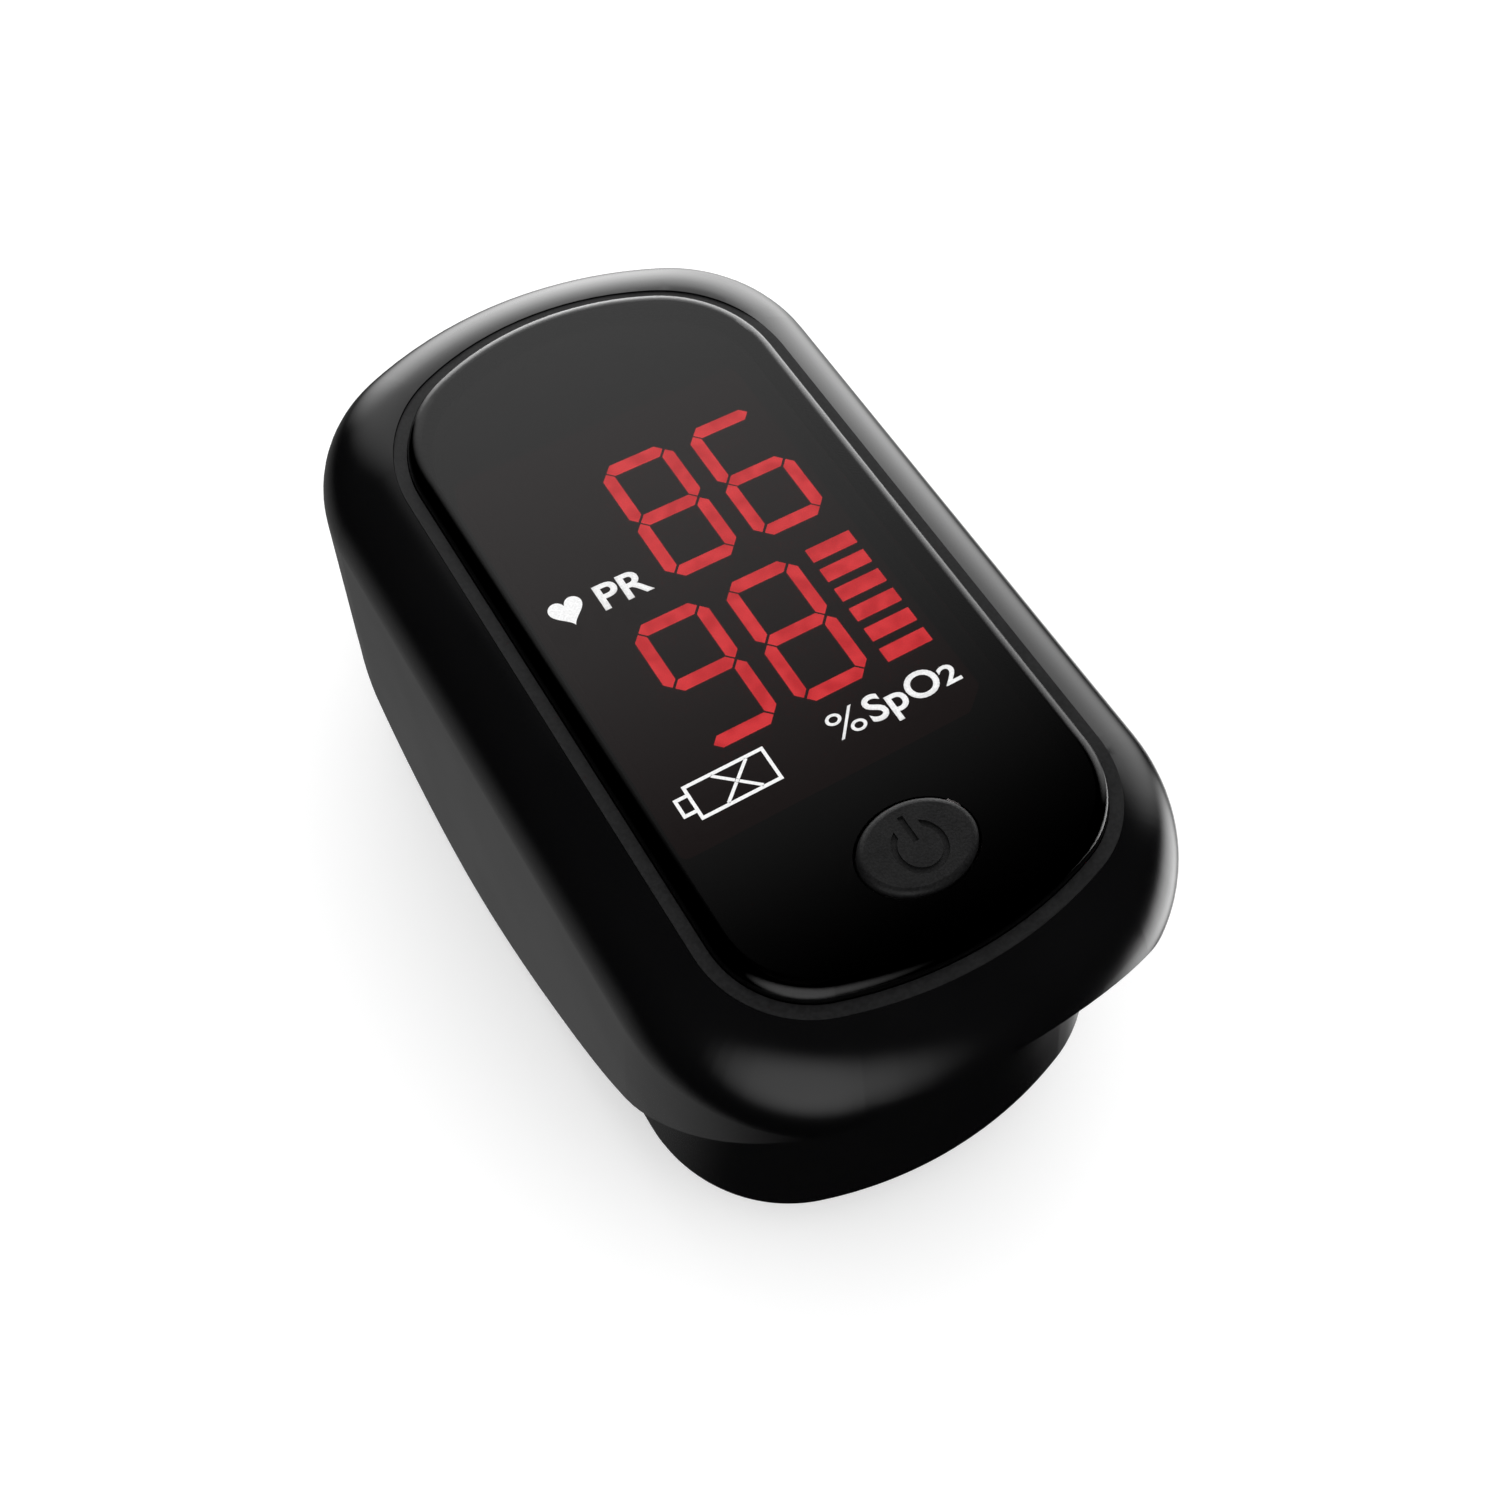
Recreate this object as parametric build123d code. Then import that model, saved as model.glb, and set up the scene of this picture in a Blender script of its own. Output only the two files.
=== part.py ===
from build123d import *
import math
import os

# Fingertip pulse oximeter: two hinged jaws that close on a finger.
# Frame: X across the finger, Y along it (-Y is the finger opening, +Y the pinch end), Z up.
# Origin: middle of the underside, on the surface that the lower jaw rests on.

# ---------------------------------------------------------------- driving dimensions (mm)
# An outline is (half width, half length, corner and bow radius of the +Y end, the same of the -Y end).
UPPER_OUTLINE = (16.9, 29.9, 10.4, 26.2, 11.7, 27.0)
LOWER_OUTLINE = (15.6, 28.5, 10.8, 27.0, 9.8, 27.7)
WINDOW_OUTLINE = (12.05, 24.25, 7.9, 17.8, 5.9, 25.3)

WINDOW_TOP = 30.0
BEZEL_TOP = 28.95
UPPER_TOP = 29.05
SHOULDER_RADIUS = 5.3
UPPER_DRAFT = 0.5
SHELL_WALL = 1.1

LOWER_EDGE_Z = 6.0
LOWER_TOP = 17.5
LOWER_LEAN = 12.0
KEEL_LEAN = 30.0
FLOOR_WALL = 1.3

# Lower rim of the upper shell, seen from the side as (y, z).
UPPER_RIM = [
    (-31.0, 28.8), (-28.2, 25.1), (-24.5, 20.4), (-20.6, 16.1), (-16.0, 11.2), (-8.0, 5.8),
    (-1.5, 2.9), (4.5, 1.7), (11.0, 2.7), (18.0, 6.5), (24.0, 13.6), (31.0, 20.6),
]
# Upper edge of the lower shell behind the hinge, seen from the side as (y, z).
LOWER_REAR_EDGE = [(9.5, LOWER_TOP), (14.0, 16.3), (22.0, 13.8), (31.0, 10.4)]

PIVOT_Y = 8.0
PIVOT_Z = 15.8
PIN_RADIUS = 1.0
PIN_HALF_LENGTH = 12.3
LUG_RADIUS = 1.9
PIN_SLIP = 0.05

# Finger channel: two shallow arcs that run along Y.
CHANNEL_RADIUS = 12.0
LOWER_ARC_Z = 26.3
UPPER_ARC_Z = 10.0
PAD_THICKNESS = 1.0
FRAME_SKIN = 1.0
CHANNEL_END_Y = 3.0
PAD_START_Y = -27.6

PLATE_LOW = 18.8
PLATE_HIGH = 20.0
BOARD_LOW = 24.3
BOARD_HIGH = 25.3
BULKHEAD_Y = (-24.5, -23.6)
LEDGE_TOP = 27.75
LEDGE_LOW = 26.5
GLUE = 0.2

BUTTON_Y = -18.28
BUTTON_HALF = (3.45, 2.6)
BUTTON_HOLE_HALF = (3.62, 2.77)
BUTTON_TOP = 30.4
SWITCH_TOP = 26.5
PLUNGER_TOP = 26.8

CELL_RADIUS = 5.25
CELL_LENGTH = 44.5
CELL_NUB = (1.9, 0.9)
CELL_X = 5.65
CELL_Z = 7.3
BAY_HALF_LENGTH = 24.6
CONTACT_SHEET = 0.3
SPRING_WIRE = 0.5

COVER_HALF_WIDTH = 10.75
COVER_START_Y = -20.0
COVER_HIGH = 4.0
COVER_GAP = 0.15
COVER_LIFT = 0.1
RAIL_END_Y = 6.6

SCREW_X = 12.6
SCREW_YS = (-19.5, 20.0)
# Lower frame screws as (x, y, seat under the head, top of the boss).
LOWER_SCREWS = [(10.95, -12.0, 16.9, 16.5), (11.8, 15.0, 13.5, 12.7)]
LOWER_SCREW_LENGTH = 3.0
LOWER_SCREW_RADIUS = 0.6
LOWER_HEAD_RADIUS = 1.0
LOWER_BOSS_RADIUS = 0.95
KEEL_ROUNDING = 2.5
EDGE_ROUNDING = 0.4
SENSOR_Y = -11.0

# Digit layout on the display: segment stroke, digit size between stroke centres.
DIGIT_WIDTH = 4.04
DIGIT_HEIGHT = 8.32
DIGIT_PITCH = 6.0
STROKE = 0.77
UPPER_ROW = (-1.67, 12.15)
LOWER_ROW = (-5.63, 1.3)
BAR_SIZE = (3.01, 0.95)
BAR_CENTRE_X = 7.29
BAR_TOP_Y = 1.06
BAR_PITCH = 1.57
BAR_COUNT = 6
DISPLAY_BOX = (-9.98, 9.44, -11.35, 15.8)
DISPLAY_TOP = 27.55


# ---------------------------------------------------------------- shared shapes
def shrink(outline, gap):
    """The same outline, moved inwards by gap."""
    return tuple(size - gap for size in outline)


def pill(half_width, half_length, *end_radii):
    """Face with straight sides, round corners and gently bowed ends."""
    curves = []
    side_ends = []
    for y_sign, corner, bow in ((1, *end_radii[:2]), (-1, *end_radii[2:])):
        reach = half_width - corner
        bow_centre = half_length - bow
        corner_y = bow_centre + math.sqrt((bow - corner) ** 2 - reach ** 2)
        turn = math.atan2(corner_y - bow_centre, reach)
        arc = [(reach + corner * math.cos(angle), corner_y + corner * math.sin(angle))
               for angle in (0, turn / 2, turn)]
        for x_sign in (1, -1):
            curves.append(ThreePointArc(*[(x_sign * x, y_sign * y) for x, y in arc]))
        join_x, join_y = arc[-1]
        middle = (0, y_sign * half_length)
        curves.append(ThreePointArc((join_x, y_sign * join_y), middle, (-join_x, y_sign * join_y)))
        side_ends.append(y_sign * corner_y)
    for x_sign in (1, -1):
        curves.append(Line(*[(x_sign * half_width, y) for y in side_ends]))
    return make_face(curves)


def slab(outline, low, high, lean=0.0):
    """Solid from low up to high; lean narrows it towards the top."""
    face = Pos(0, 0, low) * pill(*outline)
    return extrude(face, amount=high - low, dir=(0, 0, 1), taper=lean)


def keel(outline, high, low, lean):
    """Solid from high down to low; lean narrows it towards the bottom."""
    face = Pos(0, 0, high) * pill(*outline)
    return extrude(face, amount=high - low, dir=(0, 0, -1), taper=lean)


def block(x_range, y_range, z_range):
    """Box given by its limits along each axis."""
    sizes = [high - low for low, high in (x_range, y_range, z_range)]
    middle = [(low + high) / 2 for low, high in (x_range, y_range, z_range)]
    return Pos(*middle) * Box(*sizes)


def below(height):
    """Everything under a given height."""
    return block((-30, 30), (-45, 45), (-20, height))


def post(x, y, radius, low, high):
    """Upright cylinder between two heights."""
    return Pos(x, y, (low + high) / 2) * Cylinder(radius, high - low)


def rod(x_range, y, z, radius):
    """Cylinder that lies along X."""
    low, high = x_range
    return Pos((low + high) / 2, y, z) * Rot(0, 90, 0) * Cylinder(radius, high - low)


def tunnel(radius, centre_z, y_range):
    """Cylinder that lies along Y, for the finger channel."""
    low, high = y_range
    return Pos(0, (low + high) / 2, centre_z) * Rot(90, 0, 0) * Cylinder(radius, high - low)


def side_profile(curves, half_width=20.0):
    """Solid with a given outline in the Y-Z plane, symmetric about X = 0."""
    face = Plane.YZ * make_face(curves)
    return extrude(face, amount=half_width, both=True)


def below_rim(raised=0.0):
    """Everything under the upper shell's lower rim, which can be moved up."""
    points = [(y, z + raised) for y, z in UPPER_RIM]
    rim = Spline(*points)
    rest = Polyline(points[-1], (points[-1][0], -3), (points[0][0], -3), points[0])
    return side_profile([*rim.edges(), *rest.edges()])


def above_lower_edge():
    """Everything over the lower shell's upper edge."""
    first = LOWER_REAR_EDGE[0]
    last = LOWER_REAR_EDGE[-1]
    slope = Spline(*LOWER_REAR_EDGE, tangents=[(1, 0), (2, -0.8)])
    rest = Polyline(last, (last[0], 40), (-40, 40), (-40, first[1]), first)
    return side_profile([*slope.edges(), *rest.edges()])


def pairs(xs, ys):
    """Every position with both signs of x."""
    return [(sign * xs, y) for sign in (1, -1) for y in ys]


# ---------------------------------------------------------------- upper jaw
def upper_body(gap, top):
    """The upper shell's outside, moved inwards by gap and closed at a given height."""
    foot = shrink(UPPER_OUTLINE, gap - top_draft())
    return slab(foot, 0, top, UPPER_DRAFT)


def top_draft():
    """How far the drafted wall stands out at the bottom."""
    return (UPPER_TOP - SHOULDER_RADIUS) * math.tan(math.radians(UPPER_DRAFT))


def rounded_top(body, radius):
    """Fillet the edges of a solid's highest flat face."""
    return fillet(body.faces().sort_by(Axis.Z)[-1].edges(), radius)


def make_upper_shell():
    shell = rounded_top(upper_body(0, UPPER_TOP), SHOULDER_RADIUS)
    cavity = rounded_top(upper_body(SHELL_WALL, LEDGE_LOW), SHOULDER_RADIUS - 1.8)
    shell -= cavity
    for x, y in pairs(SCREW_X, SCREW_YS):
        shell += post(x, y, 1.8, PLATE_HIGH, LEDGE_LOW + 0.4)
        shell -= post(x, y, 0.85, PLATE_HIGH, LEDGE_LOW - 1)
    bezel = shrink(WINDOW_OUTLINE, -0.86)
    opening = shrink(WINDOW_OUTLINE, 1.5)
    shell -= slab(bezel, LEDGE_TOP, UPPER_TOP + 1)
    shell -= slab(opening, LEDGE_LOW - 1, LEDGE_TOP)
    return shell - below_rim()


def make_bezel_ring():
    outer = shrink(WINDOW_OUTLINE, -0.84)
    inner = shrink(WINDOW_OUTLINE, -0.06)
    ring = slab(outer, LEDGE_TOP, BEZEL_TOP)
    return ring - slab(inner, LEDGE_TOP - 1, BEZEL_TOP + 1)


def button_prism(half_axes, low, high):
    """Upright elliptical solid centred on the button."""
    face = Pos(0, BUTTON_Y, low) * Ellipse(*half_axes)
    return extrude(face, amount=high - low)


def make_display_window():
    window = slab(WINDOW_OUTLINE, LEDGE_TOP + GLUE, WINDOW_TOP)
    window = rounded_top(window, 0.95)
    hole = button_prism(BUTTON_HOLE_HALF, LEDGE_TOP, WINDOW_TOP + 1)
    return window - hole


def make_window_adhesive():
    outer = shrink(WINDOW_OUTLINE, 0.2)
    inner = shrink(WINDOW_OUTLINE, 1.4)
    tape = slab(outer, LEDGE_TOP, LEDGE_TOP + GLUE)
    return tape - slab(inner, LEDGE_TOP - 1, LEDGE_TOP + 1)


def make_power_button():
    cap = button_prism(BUTTON_HALF, LEDGE_TOP - 0.4, BUTTON_TOP)
    cap = rounded_top(cap, 0.35)
    flange = button_prism((4.3, 3.45), LEDGE_TOP - 0.4, LEDGE_TOP + 0.05)
    stem = post(0, BUTTON_Y, 1.2, PLUNGER_TOP, LEDGE_TOP)
    return cap + flange + stem - power_symbol()


def power_symbol():
    """Open ring and upright bar, sunk into the button's face."""
    centre_y = BUTTON_Y - 0.15
    ring = Circle(1.55) - Circle(1.2)
    ring -= Pos(0, 1.4) * Rectangle(1.5, 1.4)
    bar = Pos(0, 1.15) * Rectangle(0.34, 1.6)
    face = Pos(0, centre_y, BUTTON_TOP - 0.14) * (ring + bar)
    return extrude(face, amount=1)


def make_tact_switch():
    case = block((-2.3, 2.3), (BUTTON_Y - 2.3, BUTTON_Y + 2.3), (BOARD_HIGH, SWITCH_TOP))
    return case - post(0, BUTTON_Y, 1.1, BOARD_HIGH + 0.3, SWITCH_TOP + 1)


def make_switch_plunger():
    return post(0, BUTTON_Y, 1.0, SWITCH_TOP - 0.6, PLUNGER_TOP)


def make_main_board():
    board = block((-10.3, 10.3), (-24.2, 24.2), (BOARD_LOW, BOARD_HIGH))
    return fillet(board.edges().filter_by(Axis.Z), 3.0)


def make_display_module():
    left, right, near, far = DISPLAY_BOX
    case = block((left, right), (near, far), (BOARD_HIGH, DISPLAY_TOP))
    return fillet(case.edges().filter_by(Axis.Z), 0.6)


def segment(length):
    """Flat light bar along X with pointed ends."""
    half = length / 2 - 0.12
    slope = STROKE / 2
    points = [(-half, 0), (slope - half, slope), (half - slope, slope),
              (half, 0), (half - slope, -slope), (slope - half, -slope)]
    return make_face(Polyline(*points, close=True).edges())


def digit_segments(corner, lit):
    """Faces of the named segments, a to g, of a digit whose top left corner is given."""
    across = segment(DIGIT_WIDTH)
    upright = Rot(0, 0, 90) * segment(DIGIT_HEIGHT / 2)
    middle_x = DIGIT_WIDTH / 2
    places = {
        "a": (across, middle_x, 0), "g": (across, middle_x, -DIGIT_HEIGHT / 2),
        "d": (across, middle_x, -DIGIT_HEIGHT),
        "f": (upright, 0, -DIGIT_HEIGHT / 4), "b": (upright, DIGIT_WIDTH, -DIGIT_HEIGHT / 4),
        "e": (upright, 0, -DIGIT_HEIGHT * 3 / 4), "c": (upright, DIGIT_WIDTH, -DIGIT_HEIGHT * 3 / 4),
    }
    faces = []
    for name in lit:
        face, x, y = places[name]
        faces.append(Pos(corner[0] + x, corner[1] + y) * face)
    return faces


def light_bars(faces):
    """Thin light pipes that stand on the display module."""
    return [extrude(Pos(0, 0, DISPLAY_TOP) * face, amount=0.1, dir=(0, 0, 1)) for face in faces]


def make_lit_digits():
    faces = []
    for (x, y), row in ((UPPER_ROW, ("abcdefg", "acdefg")), (LOWER_ROW, ("abcdfg", "abcdefg"))):
        for place, lit in enumerate(row):
            faces += digit_segments((x + place * DIGIT_PITCH, y), lit)
    return light_bars(faces)


def make_pulse_bars():
    faces = []
    for step in range(BAR_COUNT):
        faces.append(Pos(BAR_CENTRE_X, BAR_TOP_Y - step * BAR_PITCH) * Rectangle(*BAR_SIZE))
    return light_bars(faces)


def make_microcontroller():
    return block((-3.5, 3.5), (11.0, 18.0), (BOARD_LOW - 1.0, BOARD_LOW))


def make_amplifier_chip():
    return block((-8.6, -4.8), (9.0, 14.0), (BOARD_LOW - 0.9, BOARD_LOW))


def make_crystal():
    can = block((5.0, 8.2), (13.0, 14.6), (BOARD_LOW - 0.8, BOARD_LOW))
    return fillet(can.edges().filter_by(Axis.Z), 0.4)


def make_board_capacitors():
    chips = []
    for step in range(5):
        y = 8.5 + step * 2.2
        chips.append(block((8.9, 9.7), (y, y + 1.6), (BOARD_LOW - 0.8, BOARD_LOW)))
    return chips


def make_ribbon_connector():
    return block((-3.0, 3.0), (4.8, 7.4), (BOARD_LOW - 1.2, BOARD_LOW))


def make_upper_frame():
    inside = upper_body(SHELL_WALL + 0.2, LEDGE_LOW)
    outer = CHANNEL_RADIUS + PAD_THICKNESS + FRAME_SKIN
    inner = CHANNEL_RADIUS + PAD_THICKNESS
    plate = block((-20, 20), (-30, 30), (PLATE_LOW, PLATE_HIGH))
    vault = tunnel(outer, UPPER_ARC_Z, (-30, CHANNEL_END_Y + 1.0))
    vault -= below(PLATE_LOW)
    bulkhead = block((-20, 20), BULKHEAD_Y, (PLATE_LOW, BOARD_LOW - 0.1))
    frame = (plate + vault + bulkhead) & inside
    frame -= tunnel(inner, UPPER_ARC_Z, (-40, CHANNEL_END_Y))
    frame -= below_rim(0.5)
    for sign in (1, -1):
        frame += upper_lug(sign)
    for x, y in pairs(8.6, (-21.5, 21.5)):
        frame += post(x, y, 1.2, PLATE_HIGH - 0.5, BOARD_LOW)
    frame -= tunnel(inner, UPPER_ARC_Z, (-40, CHANNEL_END_Y))
    for x, y in pairs(SCREW_X, SCREW_YS):
        frame -= post(x, y, 0.95, PLATE_LOW - 1, PLATE_HIGH + 1)
    frame -= post(0, SENSOR_Y, 2.0, PLATE_HIGH, BOARD_LOW)
    frame -= block((-2.6, 2.6), (CHANNEL_END_Y + 1.3, 9.0), (PLATE_LOW - 1, PLATE_HIGH + 1))
    return frame


def upper_lug(sign):
    """Ear that hangs from the upper frame and turns on the pin."""
    low, high = sorted((sign * 8.4, sign * 10.2))
    web = block((low, high), (PIVOT_Y - LUG_RADIUS, PIVOT_Y + LUG_RADIUS), (PIVOT_Z, PLATE_LOW + 0.2))
    lug = web + rod((low, high), PIVOT_Y, PIVOT_Z, LUG_RADIUS)
    return lug - rod((low - 1, high + 1), PIVOT_Y, PIVOT_Z, PIN_RADIUS + PIN_SLIP)


def make_upper_pad():
    pad = tunnel(CHANNEL_RADIUS + PAD_THICKNESS - 0.03, UPPER_ARC_Z, (PAD_START_Y, CHANNEL_END_Y - 0.05))
    pad -= tunnel(CHANNEL_RADIUS, UPPER_ARC_Z, (-40, CHANNEL_END_Y - 1.0))
    pad -= below(PLATE_LOW)
    pad &= upper_body(SHELL_WALL + 0.2, LEDGE_LOW)
    pad -= below_rim(0.5)
    return pad - post(0, SENSOR_Y, 2.0, PLATE_HIGH, BOARD_LOW)


def make_emitter_led():
    top = UPPER_ARC_Z + CHANNEL_RADIUS
    return post(0, SENSOR_Y, 1.9, top + 0.4, top + 2.1)


def make_upper_screws():
    screws = []
    for x, y in pairs(SCREW_X, SCREW_YS):
        head = post(x, y, 1.5, PLATE_LOW - 0.9, PLATE_LOW)
        head = fillet(head.faces().sort_by(Axis.Z)[0].edges(), 0.3)
        slot = block((x - 1.0, x + 1.0), (y - 0.17, y + 0.17), (PLATE_LOW - 1, PLATE_LOW - 0.5))
        cross = block((x - 0.17, x + 0.17), (y - 1.0, y + 1.0), (PLATE_LOW - 1, PLATE_LOW - 0.5))
        shank = post(x, y, 0.8, PLATE_LOW - 0.1, PLATE_HIGH + 5)
        screws.append(head + shank - slot - cross)
    return screws


# ---------------------------------------------------------------- lower jaw
def lower_body(gap, floor):
    """The lower shell's outside, moved inwards by gap and closed at a given floor height."""
    outline = shrink(LOWER_OUTLINE, gap)
    upper = slab(outline, LOWER_EDGE_Z, LOWER_TOP + 2, LOWER_LEAN)
    return upper + keel(outline, LOWER_EDGE_Z, floor, KEEL_LEAN)


def cover_opening(gap):
    """Room for the battery cover, wider than it by gap."""
    half = COVER_HALF_WIDTH + gap
    return block((-half, half), (COVER_START_Y - gap, 40), (-1, COVER_HIGH + gap))


def rounded_lower_body():
    """The lower shell's outside with its widest edge and its underside rounded."""
    body = lower_body(0, 0)
    widest = body.edges().filter_by_position(Axis.Z, LOWER_EDGE_Z - 0.01, LOWER_EDGE_Z + 0.01)
    body = fillet(widest, EDGE_ROUNDING)
    return fillet(body.faces().sort_by(Axis.Z)[0].edges(), KEEL_ROUNDING)


def lower_screw_places():
    """Place, seat height and boss height of every screw that holds the lower frame."""
    return [(sign * x, y, seat, boss) for sign in (1, -1) for x, y, seat, boss in LOWER_SCREWS]


def make_lower_shell():
    outer = rounded_lower_body()
    shell = outer - lower_body(SHELL_WALL, FLOOR_WALL)
    for x, y, seat, top in lower_screw_places():
        column = (top - LOWER_SCREW_LENGTH, top)
        sides = (y - LOWER_BOSS_RADIUS, y + LOWER_BOSS_RADIUS)
        boss = post(x, y, LOWER_BOSS_RADIUS, *column) + block(sorted((x, x * 1.2)), sides, column)
        shell += boss & outer
        shell -= post(x, y, LOWER_SCREW_RADIUS + 0.02, seat - LOWER_SCREW_LENGTH, top + 1)
    shell -= above_lower_edge()
    shell -= tunnel(CHANNEL_RADIUS, LOWER_ARC_Z, (-40, -20))
    return shell - cover_opening(COVER_GAP)


def make_battery_cover():
    wall = rounded_lower_body() - lower_body(SHELL_WALL, FLOOR_WALL)
    cover = (wall & cover_opening(0)) - below(COVER_LIFT)
    for sign in (1, -1):
        rib = sorted((sign * 10.1, sign * COVER_HALF_WIDTH))
        lip = sorted((sign * 10.1, sign * 11.5))
        cover += block(rib, (COVER_START_Y, RAIL_END_Y), (FLOOR_WALL - 0.1, 2.1))
        cover += block(lip, (COVER_START_Y, RAIL_END_Y), (FLOOR_WALL + 0.15, 2.1))
    for step in range(6):
        y = 8.0 + step * 1.6
        cover -= block((-6.0, 6.0), (y, y + 0.7), (-1, COVER_LIFT + 0.35))
    return cover


def make_lower_frame():
    inside = lower_body(SHELL_WALL + 0.12, FLOOR_WALL) - above_lower_edge()
    outer = CHANNEL_RADIUS + PAD_THICKNESS + FRAME_SKIN
    inner = CHANNEL_RADIUS + PAD_THICKNESS
    deck_z = (CELL_Z + CELL_RADIUS + 0.2, CELL_Z + CELL_RADIUS + 0.95)
    trough = tunnel(outer, LOWER_ARC_Z, (-40, CHANNEL_END_Y + 1.0)) & below(LOWER_TOP)
    ledge = block((-20, 20), (-40, CHANNEL_END_Y + 2.5), (LOWER_TOP - 1.0, LOWER_TOP))
    deck = block((-20, 20), (CHANNEL_END_Y, BAY_HALF_LENGTH + 1), deck_z)
    frame = trough + ledge + deck
    for side in (-1, 1):
        wall_y = sorted((side * (BAY_HALF_LENGTH + 0.05), side * (BAY_HALF_LENGTH + 0.85)))
        frame += block((-11.4, 11.4), wall_y, (5.0, CELL_Z + CELL_RADIUS + 0.5))
    frame -= tunnel(inner, LOWER_ARC_Z, (-40, CHANNEL_END_Y))
    frame &= inside
    for sign in (1, -1):
        lug_x = sorted((sign * 10.6, sign * 12.1))
        lug_y = (PIVOT_Y - LUG_RADIUS, PIVOT_Y + LUG_RADIUS)
        frame += block(lug_x, lug_y, (deck_z[0], PIVOT_Z)) + rod(lug_x, PIVOT_Y, PIVOT_Z, LUG_RADIUS)
        frame -= rod((sign * 11.3 - 2, sign * 11.3 + 2), PIVOT_Y, PIVOT_Z, PIN_RADIUS + 0.01)
    for x, y, seat, _ in lower_screw_places():
        frame -= post(x, y, LOWER_SCREW_RADIUS + 0.15, seat - 2, LOWER_TOP)
        frame -= post(x, y, LOWER_HEAD_RADIUS + 0.15, seat, LOWER_TOP + 1)
    frame -= block((-2.4, 2.4), (CHANNEL_END_Y + 1.2, CHANNEL_END_Y + 3.4), (deck_z[0] - 1, LOWER_TOP))
    return frame - block((-1.9, 1.9), (SENSOR_Y - 1.9, SENSOR_Y + 1.9), (CELL_Z, LOWER_TOP))


def make_lower_pad():
    pad = tunnel(CHANNEL_RADIUS + PAD_THICKNESS - 0.03, LOWER_ARC_Z, (PAD_START_Y + 0.6, CHANNEL_END_Y - 0.05))
    pad -= tunnel(CHANNEL_RADIUS, LOWER_ARC_Z, (-40, CHANNEL_END_Y - 1.0))
    pad &= below(LOWER_TOP)
    pad &= lower_body(SHELL_WALL + 0.2, FLOOR_WALL)
    return pad - block((-1.9, 1.9), (SENSOR_Y - 1.9, SENSOR_Y + 1.9), (CELL_Z, LOWER_TOP))


def make_photodiode():
    top = LOWER_ARC_Z - CHANNEL_RADIUS
    return block((-1.8, 1.8), (SENSOR_Y - 1.8, SENSOR_Y + 1.8), (top - 2.1, top - 0.4))


def make_sensor_board():
    low = LOWER_ARC_Z - CHANNEL_RADIUS - 2.8
    return block((-2.4, 2.4), (SENSOR_Y - 4, SENSOR_Y + 4), (low, low + 0.7))


def make_sensor_ribbon():
    low = LOWER_ARC_Z - CHANNEL_RADIUS - 2.9
    start = (SENSOR_Y + 4.1, low)
    path = FilletPolyline(start, (CHANNEL_END_Y + 2.2, low), (CHANNEL_END_Y + 2.2, BOARD_LOW - 1.2), radius=1.2)
    strip = Plane.YZ * trace(path, line_width=0.15)
    return extrude(strip, amount=2.0, both=True)


def battery(x, nub_end):
    """One AAA cell; nub_end is -1 or +1 for the end that carries the positive nub."""
    nub_radius, nub_height = CELL_NUB
    tip_y = nub_end * (BAY_HALF_LENGTH - CONTACT_SHEET - 0.05)
    shoulder_y = tip_y - nub_end * nub_height
    tail_y = tip_y - nub_end * CELL_LENGTH
    body = Pos(x, (shoulder_y + tail_y) / 2, CELL_Z) * Rot(90, 0, 0) * Cylinder(CELL_RADIUS, CELL_LENGTH - nub_height)
    body = fillet(body.edges().filter_by(GeomType.CIRCLE), 0.4)
    nub = Pos(x, (shoulder_y + tip_y) / 2, CELL_Z) * Rot(90, 0, 0) * Cylinder(nub_radius, nub_height)
    return body + nub


def contact_sheet(x, end):
    """Flat nickel contact that a cell's nub presses on."""
    y = sorted((end * (BAY_HALF_LENGTH - CONTACT_SHEET), end * BAY_HALF_LENGTH))
    return block((x - 2.6, x + 2.6), y, (CELL_Z - 2.0, CELL_Z + 2.4))


def wire_along(path):
    """Round spring wire that follows a path."""
    start = Plane(origin=path @ 0, z_dir=path % 0)
    return sweep(start * Circle(SPRING_WIRE / 2), path=path)


def contact_spring(x, end):
    """Conical wire spring that presses on a cell's flat end."""
    length = 2 * BAY_HALF_LENGTH - CELL_LENGTH - 2 * CONTACT_SHEET - 0.1 - SPRING_WIRE
    coil = Helix(pitch=length / 3, height=length, radius=3.0, cone_angle=-14)
    place = Pos(x, end * (BAY_HALF_LENGTH - CONTACT_SHEET - SPRING_WIRE / 2 - 0.02), CELL_Z)
    return place * Rot(end * 90, 0, 0) * wire_along(coil)


def make_lower_screws():
    screws = []
    for x, y, seat, _ in lower_screw_places():
        head = post(x, y, LOWER_HEAD_RADIUS, seat, seat + 0.6)
        shank = post(x, y, LOWER_SCREW_RADIUS, seat - LOWER_SCREW_LENGTH, seat + 0.1)
        slot = block((x - 0.7, x + 0.7), (y - 0.15, y + 0.15), (seat + 0.3, seat + 1))
        screws.append(head + shank - slot)
    return screws


def make_hinge_pin():
    pin = rod((-PIN_HALF_LENGTH, PIN_HALF_LENGTH), PIVOT_Y, PIVOT_Z, PIN_RADIUS)
    return chamfer(pin.edges().filter_by(GeomType.CIRCLE), 0.2)


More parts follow.
